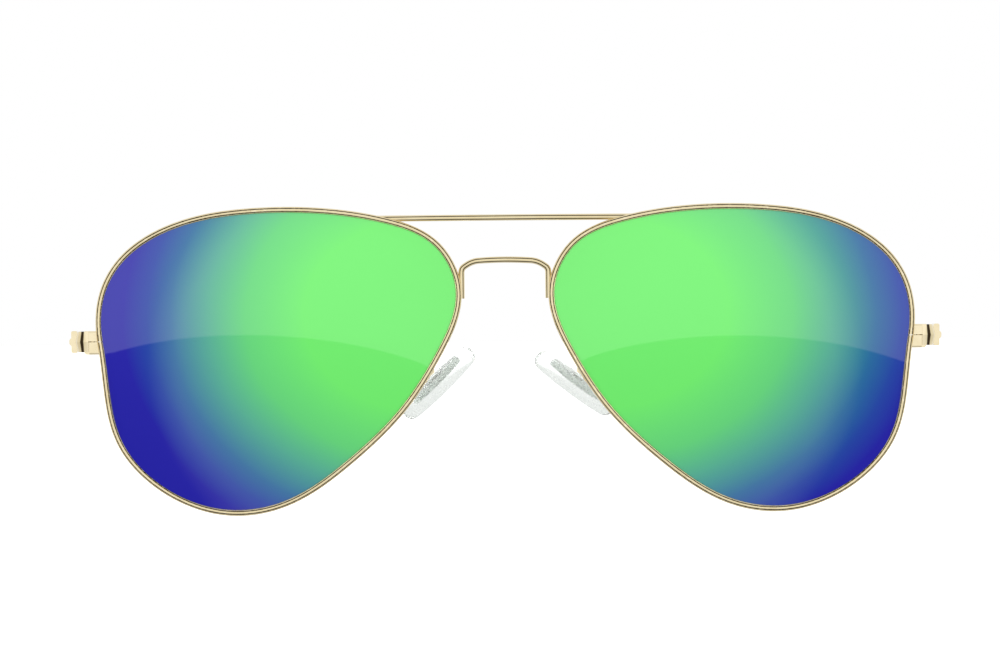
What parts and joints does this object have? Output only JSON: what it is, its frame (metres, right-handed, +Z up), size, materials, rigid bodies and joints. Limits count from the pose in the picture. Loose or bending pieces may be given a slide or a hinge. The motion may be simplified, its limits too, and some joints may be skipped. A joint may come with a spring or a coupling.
{
  "type": "aviator sunglasses",
  "caption": "Metal aviator sunglasses with teardrop mirror lenses, a straight brow bar, rocking clear nose pads and folding wire temples with plastic tips.",
  "frame": {"origin": "middle of the open glasses' footprint, on the ground that both rims and both temple tips touch", "axes": "+X towards the half on the right as seen from the front, +Y from the lenses back to the temple tips, +Z up; X = 0 is the mirror plane between the lenses"},
  "size_m": [0.1442, 0.141, 0.0502],
  "materials": {
    "gold_metal": "polished pale gold plate",
    "gold_screw": "pale gold plated machine screw",
    "mirror_lens": "opaque mirror coating, green by the nose to violet-blue at the temple",
    "tip_acetate": "polished dark tortoise acetate",
    "pad_insert": "clear hard insert",
    "pad_silicone": "clear soft silicone"
  },
  "bodies": {
    "front": {"bridge": "gold_metal", "brow_bar": "gold_metal", "rim_left": "gold_metal", "lens_left": "mirror_lens", "closing_block_upper_left": "gold_metal", "closing_block_lower_left": "gold_metal", "rim_screw_left": "gold_screw", "end_piece_left": "gold_metal", "hinge_front_left": "gold_metal", "hinge_screw_left": "gold_screw", "pad_arm_left": "gold_metal", "pad_box_left": "gold_metal", "pad_screw_left": "gold_screw", "rim_right": "gold_metal", "lens_right": "mirror_lens", "closing_block_upper_right": "gold_metal", "closing_block_lower_right": "gold_metal", "rim_screw_right": "gold_screw", "end_piece_right": "gold_metal", "hinge_front_right": "gold_metal", "hinge_screw_right": "gold_screw", "pad_arm_right": "gold_metal", "pad_box_right": "gold_metal", "pad_screw_right": "gold_screw"},
    "temple_left_body": {"hinge_temple_left": "gold_metal", "temple_left": "gold_metal", "temple_tip_left": "tip_acetate"},
    "temple_right_body": {"hinge_temple_right": "gold_metal", "temple_right": "gold_metal", "temple_tip_right": "tip_acetate"},
    "pad_left_body": {"pad_core_left": "pad_insert", "nose_pad_left": "pad_silicone"},
    "pad_right_body": {"pad_core_right": "pad_insert", "nose_pad_right": "pad_silicone"}
  },
  "joints": [
    {"name": "temple_left_fold", "type": "hinge", "parent": "front", "child": "temple_left_body", "pos_m": [-0.0679, -0.0557, 0.02851], "axis": [0, 0, -1], "range_deg": [0, 89]},
    {"name": "temple_right_fold", "type": "hinge", "parent": "front", "child": "temple_right_body", "pos_m": [0.0679, -0.0557, 0.02851], "axis": [0, 0, 1], "range_deg": [0, 82]},
    {"name": "pad_left_rock", "type": "hinge", "parent": "front", "child": "pad_left_body", "pos_m": [-0.013, -0.06111, 0.02338], "axis": [0.0904, -0.9903, -0.1058], "range_deg": [-13.5, 6.5]},
    {"name": "pad_right_rock", "type": "hinge", "parent": "front", "child": "pad_right_body", "pos_m": [0.013, -0.06111, 0.02338], "axis": [0.0904, 0.9903, 0.1058], "range_deg": [-6.5, 13.5]}
  ]
}
